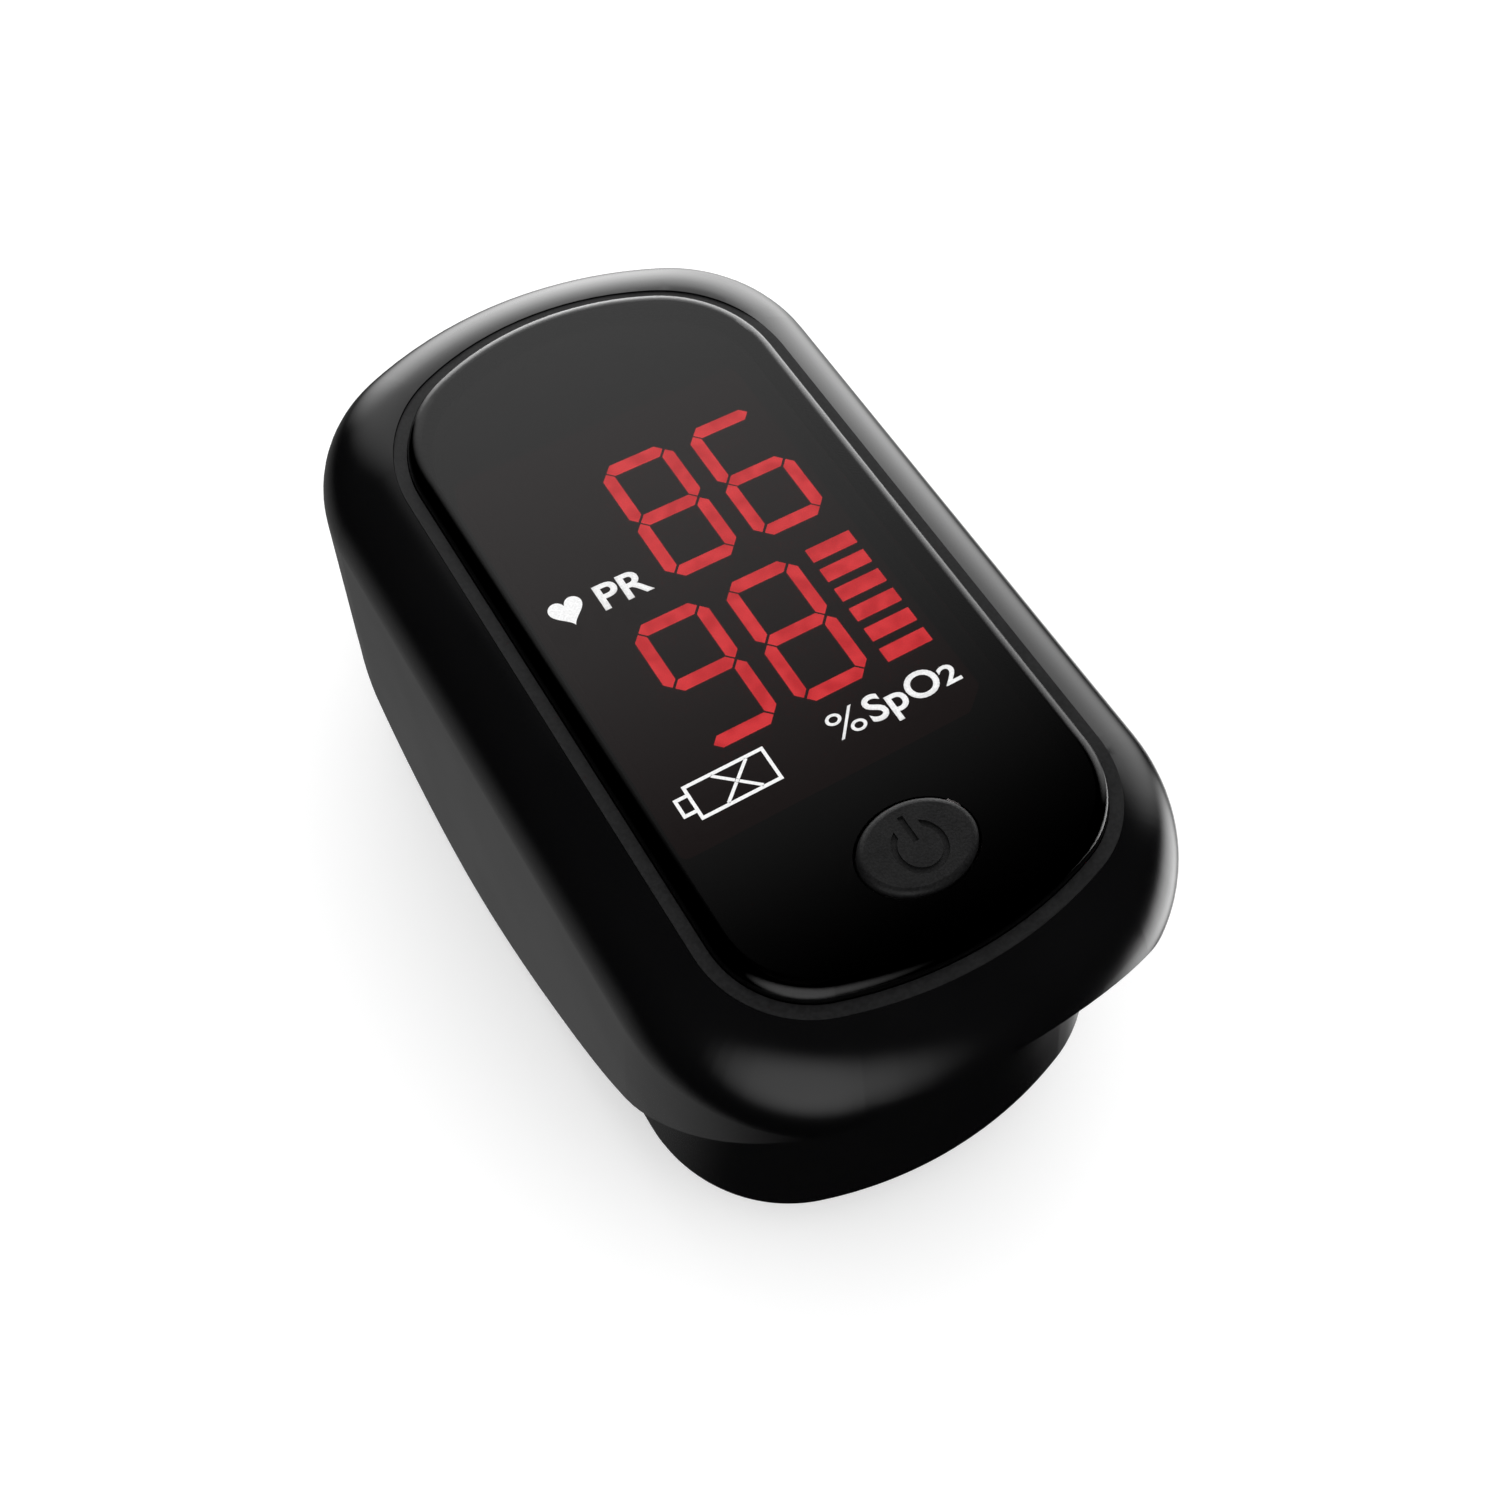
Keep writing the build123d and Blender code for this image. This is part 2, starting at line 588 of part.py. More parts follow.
def torsion_spring(sign):
    """Wire coil round the pin whose two legs push the pinch ends of the jaws apart."""
    turns = 3.5
    pitch = 0.62
    radius = 1.55
    leg_length = 5.0
    length = turns * pitch
    first_x = sign * 6.0 - length / 2
    coil = Helix(pitch=pitch, height=length, radius=radius, lefthand=True)
    spring = Pos(first_x, PIVOT_Y, PIVOT_Z) * Rot(0, 90, 0) * wire_along(coil)
    deck_top = CELL_Z + CELL_RADIUS + 0.95
    for x, side, rest in ((first_x, -1, deck_top + 0.3), (first_x + length, 1, PLATE_LOW - 0.3)):
        root = (x, PIVOT_Y, PIVOT_Z + side * radius)
        spring += wire_along(Line(root, (x, PIVOT_Y + leg_length, rest)))
        spring += Pos(*root) * Sphere(SPRING_WIRE / 2)
    return spring


# ---------------------------------------------------------------- all nodes
def make_nodes():
    nodes = {
        "upper_shell": make_upper_shell(),
        "bezel_ring": make_bezel_ring(),
        "display_window": make_display_window(),
        "window_adhesive": make_window_adhesive(),
        "power_button": make_power_button(),
        "tact_switch": make_tact_switch(),
        "switch_plunger": make_switch_plunger(),
        "main_board": make_main_board(),
        "display_module": make_display_module(),
        "lit_digits": make_lit_digits(),
        "pulse_bars": make_pulse_bars(),
        "microcontroller": make_microcontroller(),
        "amplifier_chip": make_amplifier_chip(),
        "crystal": make_crystal(),
        "board_capacitors": make_board_capacitors(),
        "ribbon_connector": make_ribbon_connector(),
        "upper_frame": make_upper_frame(),
        "upper_pad": make_upper_pad(),
        "emitter_led": make_emitter_led(),
        "upper_screws": make_upper_screws(),
        "lower_shell": make_lower_shell(),
        "battery_cover": make_battery_cover(),
        "lower_frame": make_lower_frame(),
        "lower_pad": make_lower_pad(),
        "photodiode": make_photodiode(),
        "sensor_board": make_sensor_board(),
        "sensor_ribbon": make_sensor_ribbon(),
        "battery_left": battery(-CELL_X, -1),
        "battery_right": battery(CELL_X, 1),
        "lower_screws": make_lower_screws(),
        "hinge_pin": make_hinge_pin(),
        "contact_sheet_near": contact_sheet(-CELL_X, -1),
        "contact_sheet_far": contact_sheet(CELL_X, 1),
        "contact_spring_near": contact_spring(CELL_X, -1),
        "contact_spring_far": contact_spring(-CELL_X, 1),
        "torsion_spring_left": torsion_spring(-1),
        "torsion_spring_right": torsion_spring(1),
    }
    return nodes


def main():
    os.makedirs("parts", exist_ok=True)
    for name, shape in make_nodes().items():
        if isinstance(shape, list):
            shape = Compound(children=shape)
        shape.label = name
        export_step(shape, f"parts/{name}.step")


main()
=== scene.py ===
import math

import bmesh
import bpy
from mathutils import Matrix, Vector


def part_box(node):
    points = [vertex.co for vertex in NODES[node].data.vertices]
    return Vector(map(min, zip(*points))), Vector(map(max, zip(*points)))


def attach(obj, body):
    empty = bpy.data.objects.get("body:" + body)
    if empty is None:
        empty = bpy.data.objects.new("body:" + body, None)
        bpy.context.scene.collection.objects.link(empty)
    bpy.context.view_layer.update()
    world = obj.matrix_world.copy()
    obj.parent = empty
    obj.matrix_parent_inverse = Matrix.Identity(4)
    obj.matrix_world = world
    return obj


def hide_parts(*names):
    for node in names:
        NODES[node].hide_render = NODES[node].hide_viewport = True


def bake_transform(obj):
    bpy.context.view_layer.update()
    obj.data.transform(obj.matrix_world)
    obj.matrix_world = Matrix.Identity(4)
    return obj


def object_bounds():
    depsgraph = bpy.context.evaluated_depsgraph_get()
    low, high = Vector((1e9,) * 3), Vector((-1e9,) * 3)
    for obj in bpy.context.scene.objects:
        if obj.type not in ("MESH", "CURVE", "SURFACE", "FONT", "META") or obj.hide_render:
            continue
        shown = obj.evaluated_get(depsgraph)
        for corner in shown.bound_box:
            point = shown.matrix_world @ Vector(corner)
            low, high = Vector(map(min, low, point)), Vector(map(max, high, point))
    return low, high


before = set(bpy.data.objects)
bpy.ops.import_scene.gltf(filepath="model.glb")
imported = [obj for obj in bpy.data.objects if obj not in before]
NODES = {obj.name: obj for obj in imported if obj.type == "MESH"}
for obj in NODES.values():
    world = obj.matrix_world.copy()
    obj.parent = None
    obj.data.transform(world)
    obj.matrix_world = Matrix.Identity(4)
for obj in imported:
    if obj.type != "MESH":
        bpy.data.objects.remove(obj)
CAD_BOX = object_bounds()
MM = 0.001
LENS_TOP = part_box("display_window")[1].z / MM

# ---------------------------------------------------------------- driving numbers
# Camera: lens and sensor in millimetres, nearest distance that it sees in metres, place in millimetres.
LENS = 39.64
SENSOR_WIDTH = 36
NEAREST_SEEN = 0.005
CAMERA_PLACE = (-30.548, -44.126, 106.281)
CAMERA_RIGHT = (0.85261, -0.52000, 0.05146)
CAMERA_UP = (0.43066, 0.75506, 0.49439)

# Symbols printed on the window, in millimetres. Each text has its letters, left end, baseline, height of
# a capital and width. The battery's box and nub have their left, right, low and high sides, and its
# cross has its left and right ends.
PRINT_LIFT = 0.012
PRINT_THICK = 0.012
PRINT_Z = LENS_TOP + PRINT_LIFT
HEART_CENTRE = (-8.74, 3.45)
HEART_SIZE = (2.05, 1.86)
PULSE_TEXT = ("PR", -6.86, 2.61, 1.70, 3.12)
PERCENT_TEXT = ("%", -0.14, -10.95, 1.66, 2.02)
OXYGEN_TEXT = ("SpO", 2.18, -10.93, 1.66, 4.68)
SMALL_TWO = ("2", 6.95, -10.93, 1.22, 1.10)
BATTERY_BOX = (-8.88, -3.86, -11.38, -9.15)
BATTERY_NUB = (-9.66, -8.88, -10.86, -9.64)
BATTERY_LINE = 0.2
BATTERY_CROSS = (-7.16, -5.0)
BATTERY_DOT = 0.13
CROSS_START = 0.12
CROSS_LINE = 0.9 * BATTERY_LINE
HEART_STEPS = 48
FONT_SIZE_PER_CAPITAL = 1.4
CURVE_STEPS = 6
# How much each label's strokes are thickened, in millimetres.
PULSE_WEIGHT = 0.05
PERCENT_WEIGHT = -0.01
OXYGEN_WEIGHT = 0.045
SMALL_TWO_WEIGHT = 0.03

# Brightness of the lit digits, and of the painted glow on the panel behind them, as seen before the smoked
# window dims it.
DIGIT_GLOW = 17.0
PANEL_PAINTED_GLOW = 0.07

# The battery jackets change colour at this place along the cell, in metres.
JACKET_BAND_Y = 0.010

# The floor lies this far under the object, so that their faces don't coincide. Gap and size are in metres.
FLOOR_GAP = 0.00003
FLOOR_SIZE = 4
FLOOR_GLOW = 0.25

# White light that the floor and the matt surfaces see, and that the camera sees as the backdrop.
WHITE_STRENGTH = 1.1

# Soft lamps that only gloss sees: (direction, full within degrees, gone beyond degrees, strength).
SOFT_LAMPS = [
    ((0.93, 0.43, 0.15), 2, 38, 1.7),      # along the right shoulder
    ((0.55, 0.83, 0.00), 4, 42, 2.1),      # round the far right corner
    ((0.22, 0.97, 0.00), 4, 30, 1.1),      # far end
    ((0.25, 0.85, 0.45), 4, 45, 1.15),     # far half of the window
    ((-0.30, 0.44, -0.85), 18, 46, 0.15),  # left walls
    ((-0.52, -0.82, 0.24), 10, 44, 1.25),  # near left corner
    ((0.83, -0.30, -0.46), 3, 28, 3.0),    # near right corner
    ((0.42, 0.30, -0.86), 6, 28, 1.1),     # right edge of both jaws
]

# Silicone pads, in millimetres: the finger channel's arcs, then the pads' own relief.
CHANNEL_RADIUS = 12.0
LOWER_ARC_Z = 26.3
UPPER_ARC_Z = 10.0
PAD_DEPTH = 0.95
PAD_ROWS = 150
PAD_COLUMNS = 56
LOWER_PAD_FRONT = -25.5
UPPER_PAD_FRONT = -24.9
# The upper pad gets narrower ahead of this place, by this much per millimetre.
PAD_FRONT_CUT = -23.0
PAD_FRONT_CUT_SLOPE = 1.3
# The lower pad's front leans back as it rises, and both pads' fronts curve back towards their sides.
PAD_LEAN = 0.24
PAD_LEAN_LENGTH = 7.0
PAD_BOW = 50.0
# The pad's sides end where an arc this much wider than the channel meets the height of its edge.
PAD_EDGE_SPARE = 0.15
# The pad's half angle never gets below the one with this cosine, so that some width is left.
PAD_LARGEST_COSINE = 0.99
# A higher power makes the lips along the sides narrower. The front lip is a share of the pad's depth.
SIDE_LIP_POWER = 12
FRONT_LIP_SHARE = 0.75
FRONT_LIP_LENGTH = 1.6
# Relief never takes more than this share of the pad's depth.
RELIEF_SHARE = 0.93
# Finger stop: where it starts before the closed end, and how long it takes to rise.
STOP_START = 2.4
STOP_LENGTH = 1.5
RIB_DEPTH = 0.22
RIB_PITCH = 1.9
RIB_SIDE_POWER = 4
# Ribs fade in beyond this distance from the sensor.
RIB_CLEAR = 3.2
RIB_FADE = 0.8
DISH_DEPTH = 0.3
DISH_FLAT = 2.1
DISH_EDGE = 1.6
SENSOR_Y = -11.0
HOLE_RADIUS = 1.95
HOLE_CUTTER_LENGTH = 4
# The lower pad's hole has four corners, and the upper pad's is round.
LOWER_HOLE_CORNERS = 4
UPPER_HOLE_CORNERS = 32
SHARP_ANGLE = 40


# ---------------------------------------------------------------- camera
def make_camera():
    data = bpy.data.cameras.new("camera")
    data.lens = LENS
    data.sensor_width = SENSOR_WIDTH
    data.clip_start = NEAREST_SEEN
    camera = bpy.data.objects.new("camera", data)
    bpy.context.scene.collection.objects.link(camera)
    right = Vector(CAMERA_RIGHT).normalized()
    back = right.cross(Vector(CAMERA_UP)).normalized()
    up = back.cross(right)
    turn = Matrix((right, up, back)).transposed().to_4x4()
    camera.matrix_world = Matrix.Translation(Vector(CAMERA_PLACE) * MM) @ turn
    bpy.context.scene.camera = camera


# ---------------------------------------------------------------- node helpers
def new_material(name, colour, roughness, **sockets):
    """Principled material; extra keywords set further sockets by their names."""
    made = bpy.data.materials.new(name)
    made.use_nodes = True
    shader = made.node_tree.nodes["Principled BSDF"]
    shader.inputs["Base Color"].default_value = (*colour, 1)
    shader.inputs["Roughness"].default_value = roughness
    for key, value in sockets.items():
        shader.inputs[key.replace("_", " ")].default_value = value
    return made


def node(material, kind, **values):
    """Adds a node; keywords set its inputs or its own settings."""
    made = material.node_tree.nodes.new(kind)
    for key, value in values.items():
        if hasattr(made, key):
            setattr(made, key, value)
        else:
            made.inputs[key.replace("_", " ")].default_value = value
    return made


def link(material, output, target):
    material.node_tree.links.new(output, target)


def shader_of(material):
    return material.node_tree.nodes["Principled BSDF"]


def place(material, stretch=(1, 1, 1)):
    """Object coordinates in metres, stretched along each axis."""
    where = node(material, "ShaderNodeTexCoord")
    scaled = node(material, "ShaderNodeMapping")
    scaled.inputs["Scale"].default_value = stretch
    link(material, where.outputs["Object"], scaled.inputs["Vector"])
    return scaled.outputs["Vector"]


def noise(material, per_metre, detail=3.0, stretch=(1, 1, 1)):
    made = node(material, "ShaderNodeTexNoise", Scale=per_metre, Detail=detail)
    link(material, place(material, stretch), made.inputs["Vector"])
    return made.outputs["Fac"]


def spread(material, value, low, high, start=0.35, end=0.65):
    """Maps a 0-1 pattern to a range of numbers."""
    made = node(material, "ShaderNodeMapRange")
    for key, number in (("From Min", start), ("From Max", end), ("To Min", low), ("To Max", high)):
        made.inputs[key].default_value = number
    link(material, value, made.inputs["Value"])
    return made.outputs["Result"]


def roughness_pattern(material, value, low, high):
    link(material, spread(material, value, low, high), shader_of(material).inputs["Roughness"])


def two_colours(material, factor, first, second, socket="Base Color"):
    """The first colour where the factor is 0 and the second where it is 1."""
    mix = node(material, "ShaderNodeMix", data_type="RGBA")
    mix.inputs["A"].default_value = (*first, 1)
    mix.inputs["B"].default_value = (*second, 1)
    link(material, factor, mix.inputs["Factor"])
    link(material, mix.outputs["Result"], shader_of(material).inputs[socket])


def colour_pattern(material, value, first, second, socket="Base Color"):
    two_colours(material, spread(material, value, 0, 1), first, second, socket)


def bump(material, heights, strength):
    """Bumps from (pattern, depth in metres) pairs, one after another."""
    normal = None
    for pattern, depth in heights:
        made = node(material, "ShaderNodeBump", Strength=strength, Distance=depth)
        link(material, pattern, made.inputs["Height"])
        if normal is not None:
            link(material, normal, made.inputs["Normal"])
        normal = made.outputs["Normal"]
    link(material, normal, shader_of(material).inputs["Normal"])


def give(material, *names):
    """Put one material on CAD nodes."""
    for name in names:
        slots = NODES[name].data.materials
        slots.clear()
        slots.append(material)


# ---------------------------------------------------------------- materials
def gloss_shell(name, colour, rough):
    """Polished injection-moulded plastic with faint waves and slightly uneven gloss."""
    made = new_material(name, colour, rough, IOR=1.5)
    wave = noise(made, per_metre=90, detail=2)
    speck = noise(made, per_metre=9000)
    haze = noise(made, per_metre=160)
    roughness_pattern(made, haze, rough * 0.92, rough * 1.1)
    bump(made, [(wave, 0.00002), (speck, 0.0000001)], 0.3)
    return made


def textured_plastic(name, colour, rough, grain=5200, depth=0.000012, lift=1.6, shine=0.5):
    """Spark-eroded plastic: grain per metre, depth in metres, and how much paler the high spots are."""
    made = new_material(name, colour, rough, Specular_IOR_Level=shine)
    fine = noise(made, grain, 4)
    coarse = noise(made, grain / 9, 2)
    colour_pattern(made, fine, tuple(c * 0.85 for c in colour), tuple(c * lift for c in colour))
    roughness_pattern(made, coarse, rough * 0.88, min(1.0, rough * 1.12))
    bump(made, [(fine, depth)], 0.6)
    return made


def metal(name, colour, rough, stretch=(1, 1, 1)):
    """Bare metal with fine marks, longer along an axis whose stretch is below 1."""
    made = new_material(name, colour, rough, Metallic=1.0)
    marks = noise(made, per_metre=9000, stretch=stretch)
    colour_pattern(made, marks, tuple(c * 0.82 for c in colour), colour)
    roughness_pattern(made, marks, rough * 0.75, rough * 1.35)
    bump(made, [(marks, 0.000004)], 0.4)
    return made


def silicone():
    """Soft matt silicone: fine orange peel, faint dusting and a soft sheen."""
    made = new_material("silicone_dark", (0.02, 0.02, 0.022), 0.55, Sheen_Weight=0.15,
                        Sheen_Roughness=0.5)
    fine = noise(made, per_metre=6500, detail=4)
    dust = noise(made, per_metre=420, detail=5)
    colour_pattern(made, dust, (0.017, 0.017, 0.019), (0.032, 0.032, 0.034))
    roughness_pattern(made, dust, 0.48, 0.66)
    bump(made, [(fine, 0.00001)], 0.5)
    return made


def window_glass():
    """Smoked acrylic that shows the lit display under it."""
    made = new_material("smoked_window", (0.05, 0.045, 0.045), 0.0, IOR=1.49,
                        Transmission_Weight=1.0)
    wave = noise(made, per_metre=60, detail=2)
    bump(made, [(wave, 0.000012)], 0.25)
    return made


def light_pipe():
    """Red glow of the lit segments, slightly uneven."""
    made = new_material("digit_red", (0.35, 0.01, 0.01), 0.5)
    shader_of(made).inputs["Emission Strength"].default_value = DIGIT_GLOW
    cells = noise(made, per_metre=900, detail=1)
    colour_pattern(made, cells, (0.62, 0.022, 0.03), (0.78, 0.04, 0.048), "Emission Color")
    return made


def display_face_painted_glow():
    """Dark display panel with a faint painted red glow across its face."""
    made = textured_plastic("display_black", (0.010, 0.006, 0.006), 0.4)
    # Painted glow: the panel face shines faintly red, though it is no lamp.
    shader_of(made).inputs["Emission Color"].default_value = (1.0, 0.3, 0.27, 1)
    shader_of(made).inputs["Emission Strength"].default_value = PANEL_PAINTED_GLOW
    return made


def circuit_board():
    """Green board with a raised brick pattern that stands for its tracks."""
    made = new_material("board_green", (0.01, 0.07, 0.03), 0.35)
    tracks = node(made, "ShaderNodeTexBrick", Scale=260.0)
    link(made, place(made), tracks.inputs["Vector"])
    colour_pattern(made, tracks.outputs["Fac"], (0.008, 0.06, 0.025), (0.02, 0.13, 0.05))
    fine = noise(made, per_metre=3000)
    roughness_pattern(made, fine, 0.28, 0.42)
    bump(made, [(tracks.outputs["Fac"], 0.00003)], 0.5)
    return made


def cell_jacket():
    """Printed battery jacket: dark band at one end, pale foil at the other, no lettering."""
    made = new_material("cell_jacket", (0.5, 0.5, 0.52), 0.3, Metallic=0.85)
    where = node(made, "ShaderNodeTexCoord")
    split = node(made, "ShaderNodeSeparateXYZ")
    link(made, where.outputs["Object"], split.inputs["Vector"])
    band = node(made, "ShaderNodeMath", operation="GREATER_THAN")
    band.inputs[1].default_value = JACKET_BAND_Y
    link(made, split.outputs["Y"], band.inputs[0])
    two_colours(made, band.outputs["Value"], (0.03, 0.06, 0.14), (0.62, 0.6, 0.56))
    fine = noise(made, per_metre=4000, stretch=(1, 0.1, 1))
    roughness_pattern(made, fine, 0.22, 0.4)
    bump(made, [(fine, 0.000005)], 0.4)
    return made


def finish_cad_nodes():
    """Gives every shown CAD node its material."""
    give(gloss_shell("upper_shell_black", (0.0014, 0.0014, 0.0016), 0.19), "upper_shell")
    give(gloss_shell("lower_shell_black", (0.0022, 0.0022, 0.0024), 0.22), "lower_shell")
    give(textured_plastic("bezel_grey", (0.0072, 0.0072, 0.0076), 0.46, shine=0.3), "bezel_ring")
    give(window_glass(), "display_window")
    give(textured_plastic("adhesive_black", (0.012, 0.012, 0.012), 0.8), "window_adhesive")
    give(textured_plastic("button_grey", (0.0035, 0.0035, 0.0037), 0.46,
                          grain=7000, depth=0.00002, lift=2.2, shine=0.3), "power_button")
    give(textured_plastic("switch_case", (0.03, 0.03, 0.03), 0.5), "tact_switch")
    give(textured_plastic("plunger_ivory", (0.6, 0.57, 0.48), 0.45), "switch_plunger")
    give(circuit_board(), "main_board", "sensor_board")
    give(display_face_painted_glow(), "display_module")
    give(light_pipe(), "lit_digits", "pulse_bars")
    give(textured_plastic("chip_black", (0.02, 0.02, 0.021), 0.55), "microcontroller", "amplifier_chip")
    give(metal("can_steel", (0.6, 0.6, 0.6), 0.3), "crystal")
    give(textured_plastic("capacitor_tan", (0.35, 0.25, 0.15), 0.5), "board_capacitors")
    give(textured_plastic("connector_ivory", (0.62, 0.59, 0.5), 0.45), "ribbon_connector")
    give(textured_plastic("frame_black", (0.005, 0.005, 0.0055), 0.55, shine=0.3),
         "upper_frame", "lower_frame")
    give(textured_plastic("led_clear", (0.45, 0.4, 0.36), 0.15, lift=1.1), "emitter_led")
    give(metal("screw_steel", (0.5, 0.5, 0.5), 0.32), "upper_screws", "lower_screws")
    give(textured_plastic("cover_black", (0.012, 0.012, 0.013), 0.4, grain=4200), "battery_cover")
    give(textured_plastic("photodiode_dark", (0.02, 0.012, 0.016), 0.2), "photodiode")
    give(textured_plastic("ribbon_amber", (0.4, 0.17, 0.03), 0.3, grain=1500), "sensor_ribbon")
    give(cell_jacket(), "battery_left", "battery_right")
    give(metal("pin_steel", (0.6, 0.6, 0.6), 0.22, stretch=(0.1, 1, 1)), "hinge_pin")
    give(metal("contact_nickel", (0.66, 0.63, 0.56), 0.3), "contact_sheet_near", "contact_sheet_far")
    give(metal("spring_steel", (0.6, 0.6, 0.58), 0.28), "contact_spring_near", "contact_spring_far",
         "torsion_spring_left", "torsion_spring_right")


# ---------------------------------------------------------------- soft and bending pieces
def smooth(value):
    """0 below 0, 1 above 1 and smooth between."""
    value = min(1.0, max(0.0, value))
    return value * value * (3 - 2 * value)


def pad_radius(y, share, front, side_angle):
    """Radius of the finger face: soft lips at its edges, ribs across and a dish round the sensor."""
    side_lip = PAD_DEPTH * abs(share) ** SIDE_LIP_POWER
    front_lip = PAD_DEPTH * FRONT_LIP_SHARE * (1 - smooth((y - front) / FRONT_LIP_LENGTH))
    rib = RIB_DEPTH * 0.5 * (1 - math.cos(2 * math.pi * y / RIB_PITCH)) * (1 - share ** RIB_SIDE_POWER)
    away = math.hypot(CHANNEL_RADIUS * side_angle * share, y - SENSOR_Y)
    dish = DISH_DEPTH * (1 - smooth((away - DISH_FLAT) / DISH_EDGE))
    calm = smooth((away - RIB_CLEAR) / RIB_FADE)
    relief = max(side_lip, front_lip) + rib * calm + dish
    return CHANNEL_RADIUS + min(PAD_DEPTH * RELIEF_SHARE, relief)


def pad_faces(mesh, inner, outer):
    """Closes two grids of vertices into one skin."""
    for row in range(PAD_ROWS):
        for column in range(PAD_COLUMNS):
            for grid in (inner, outer):
                mesh.faces.new((grid[row][column], grid[row][column + 1],
                                grid[row + 1][column + 1], grid[row + 1][column]))
        for column in (0, PAD_COLUMNS):
            mesh.faces.new((inner[row][column], inner[row + 1][column],
                            outer[row + 1][column], outer[row][column]))
    for row in (0, PAD_ROWS):
        for column in range(PAD_COLUMNS):
            mesh.faces.new((inner[row][column], inner[row][column + 1],
                            outer[row][column + 1], outer[row][column]))
    bmesh.ops.recalc_face_normals(mesh, faces=mesh.faces)


def pad_skin(low, high, centre_z, side, front):
    """Pad from its front to the far end of the CAD pad, whose box goes from low to high."""
    edge_z = (high.z if side < 0 else low.z) / MM
    deepest = (low.z if side < 0 else high.z) / MM
    end = high.y / MM
    back_radius = CHANNEL_RADIUS + PAD_DEPTH
    mesh = bmesh.new()
    inner = []
    outer = []
    for row in range(PAD_ROWS + 1):
        y = front + (end - front) * row / PAD_ROWS
        cut = 0.0 if side < 0 else max(0.0, (PAD_FRONT_CUT - y) * PAD_FRONT_CUT_SLOPE)
        cosine = (abs(edge_z - centre_z) + cut) / (CHANNEL_RADIUS + PAD_EDGE_SPARE)
        side_angle = math.acos(min(PAD_LARGEST_COSINE, cosine))
        stop = smooth((y - (end - STOP_START)) / STOP_LENGTH)
        near_front = 1 - smooth((y - front) / PAD_LEAN_LENGTH)
        inner.append([])
        outer.append([])
        for column in range(PAD_COLUMNS + 1):
            share = 2 * column / PAD_COLUMNS - 1
            angle = side_angle * share
            radius = pad_radius(y, share, front, side_angle)
            face_x = radius * math.sin(angle)
            face_z = centre_z + side * radius * math.cos(angle)
            face_z += (edge_z - face_z) * stop
            back_x = back_radius * math.sin(angle)
            back_z = centre_z + side * back_radius * math.cos(angle)
            for grid, x, z in ((inner, face_x, face_z), (outer, back_x, back_z)):
                lean = abs(z - deepest) * PAD_LEAN if side < 0 else 0.0
                leaned_y = y + near_front * (lean + x * x / PAD_BOW)
                grid[-1].append(mesh.verts.new((x * MM, leaned_y * MM, z * MM)))
    pad_faces(mesh, inner, outer)
    return mesh


def make_pad(name, body, centre_z, side, front, corners, material):
    """Silicone trough with a finger stop at its far end; side is -1 for the lower pad, 1 for the upper."""
    low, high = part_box(name)
    mesh = pad_skin(low, high, centre_z, side, front)
    data = bpy.data.meshes.new(name + "_soft")
    mesh.to_mesh(data)
    mesh.free()
    pad = bpy.data.objects.new(name + "_soft", data)
    bpy.context.scene.collection.objects.link(pad)
    cut_sensor_hole(pad, centre_z + side * CHANNEL_RADIUS, corners)
    for face in pad.data.polygons:
        face.use_smooth = True
    pad.data.set_sharp_from_angle(angle=math.radians(SHARP_ANGLE))
    pad.data.materials.append(material)
    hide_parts(name)
    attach(pad, body)


def cut_sensor_hole(pad, z, corners):
    """Cuts a hole with that many corners through the pad in front of the sensor."""
    bpy.ops.mesh.primitive_cylinder_add(vertices=corners, radius=HOLE_RADIUS * MM,
                                        depth=HOLE_CUTTER_LENGTH * MM,
                                        location=(0, SENSOR_Y * MM, z * MM))
    cutter = bpy.context.object
    modifier = pad.modifiers.new("sensor_hole", "BOOLEAN")
    modifier.operation = "DIFFERENCE"
    modifier.object = cutter
    bpy.context.view_layer.update()
    pad.data = bpy.data.meshes.new_from_object(pad.evaluated_get(bpy.context.evaluated_depsgraph_get()))
    pad.modifiers.clear()
    bpy.data.objects.remove(cutter)


def make_bending(name):
    """Copy of a spring or ribbon that sits between the two jaws, standing in for the hidden CAD piece."""
    cad = NODES[name]
    piece = bpy.data.objects.new(name + "_bends", cad.data.copy())
    bpy.context.scene.collection.objects.link(piece)
    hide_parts(name)
    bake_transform(piece)


# ---------------------------------------------------------------- printed symbols
def print_white():
    """Screen-printed white ink: thin, slightly uneven, matt."""
    made = new_material("print_white", (0.88, 0.88, 0.88), 0.6)
    fine = noise(made, per_metre=9000)
    colour_pattern(made, fine, (0.8, 0.8, 0.8), (0.95, 0.95, 0.95))
    roughness_pattern(made, fine, 0.5, 0.7)
    bump(made, [(fine, 0.000003)], 0.4)
    return made


def raised_print(name, mesh, material):
    """Turns a mesh of flat faces into a thin printed piece and frees the mesh."""
    for face in mesh.faces:
        face.normal_update()
        if face.normal.z < 0:
            face.normal_flip()
    raised = bmesh.ops.extrude_face_region(mesh, geom=list(mesh.faces))
    tops = [item for item in raised["geom"] if isinstance(item, bmesh.types.BMVert)]
    bmesh.ops.translate(mesh, verts=tops, vec=(0, 0, PRINT_THICK * MM))
    bmesh.ops.recalc_face_normals(mesh, faces=mesh.faces)
    data = bpy.data.meshes.new(name)
    mesh.to_mesh(data)
    mesh.free()
    data.materials.append(material)
    piece = bpy.data.objects.new(name, data)
    bpy.context.scene.collection.objects.link(piece)
    return piece


def flat_piece(name, outlines, material):
    """Printed piece on the window from closed outlines (x, y in millimetres) without holes."""
    mesh = bmesh.new()
    for outline in outlines:
        mesh.faces.new([mesh.verts.new((x * MM, y * MM, PRINT_Z * MM)) for x, y in outline])
    return raised_print(name, mesh, material)


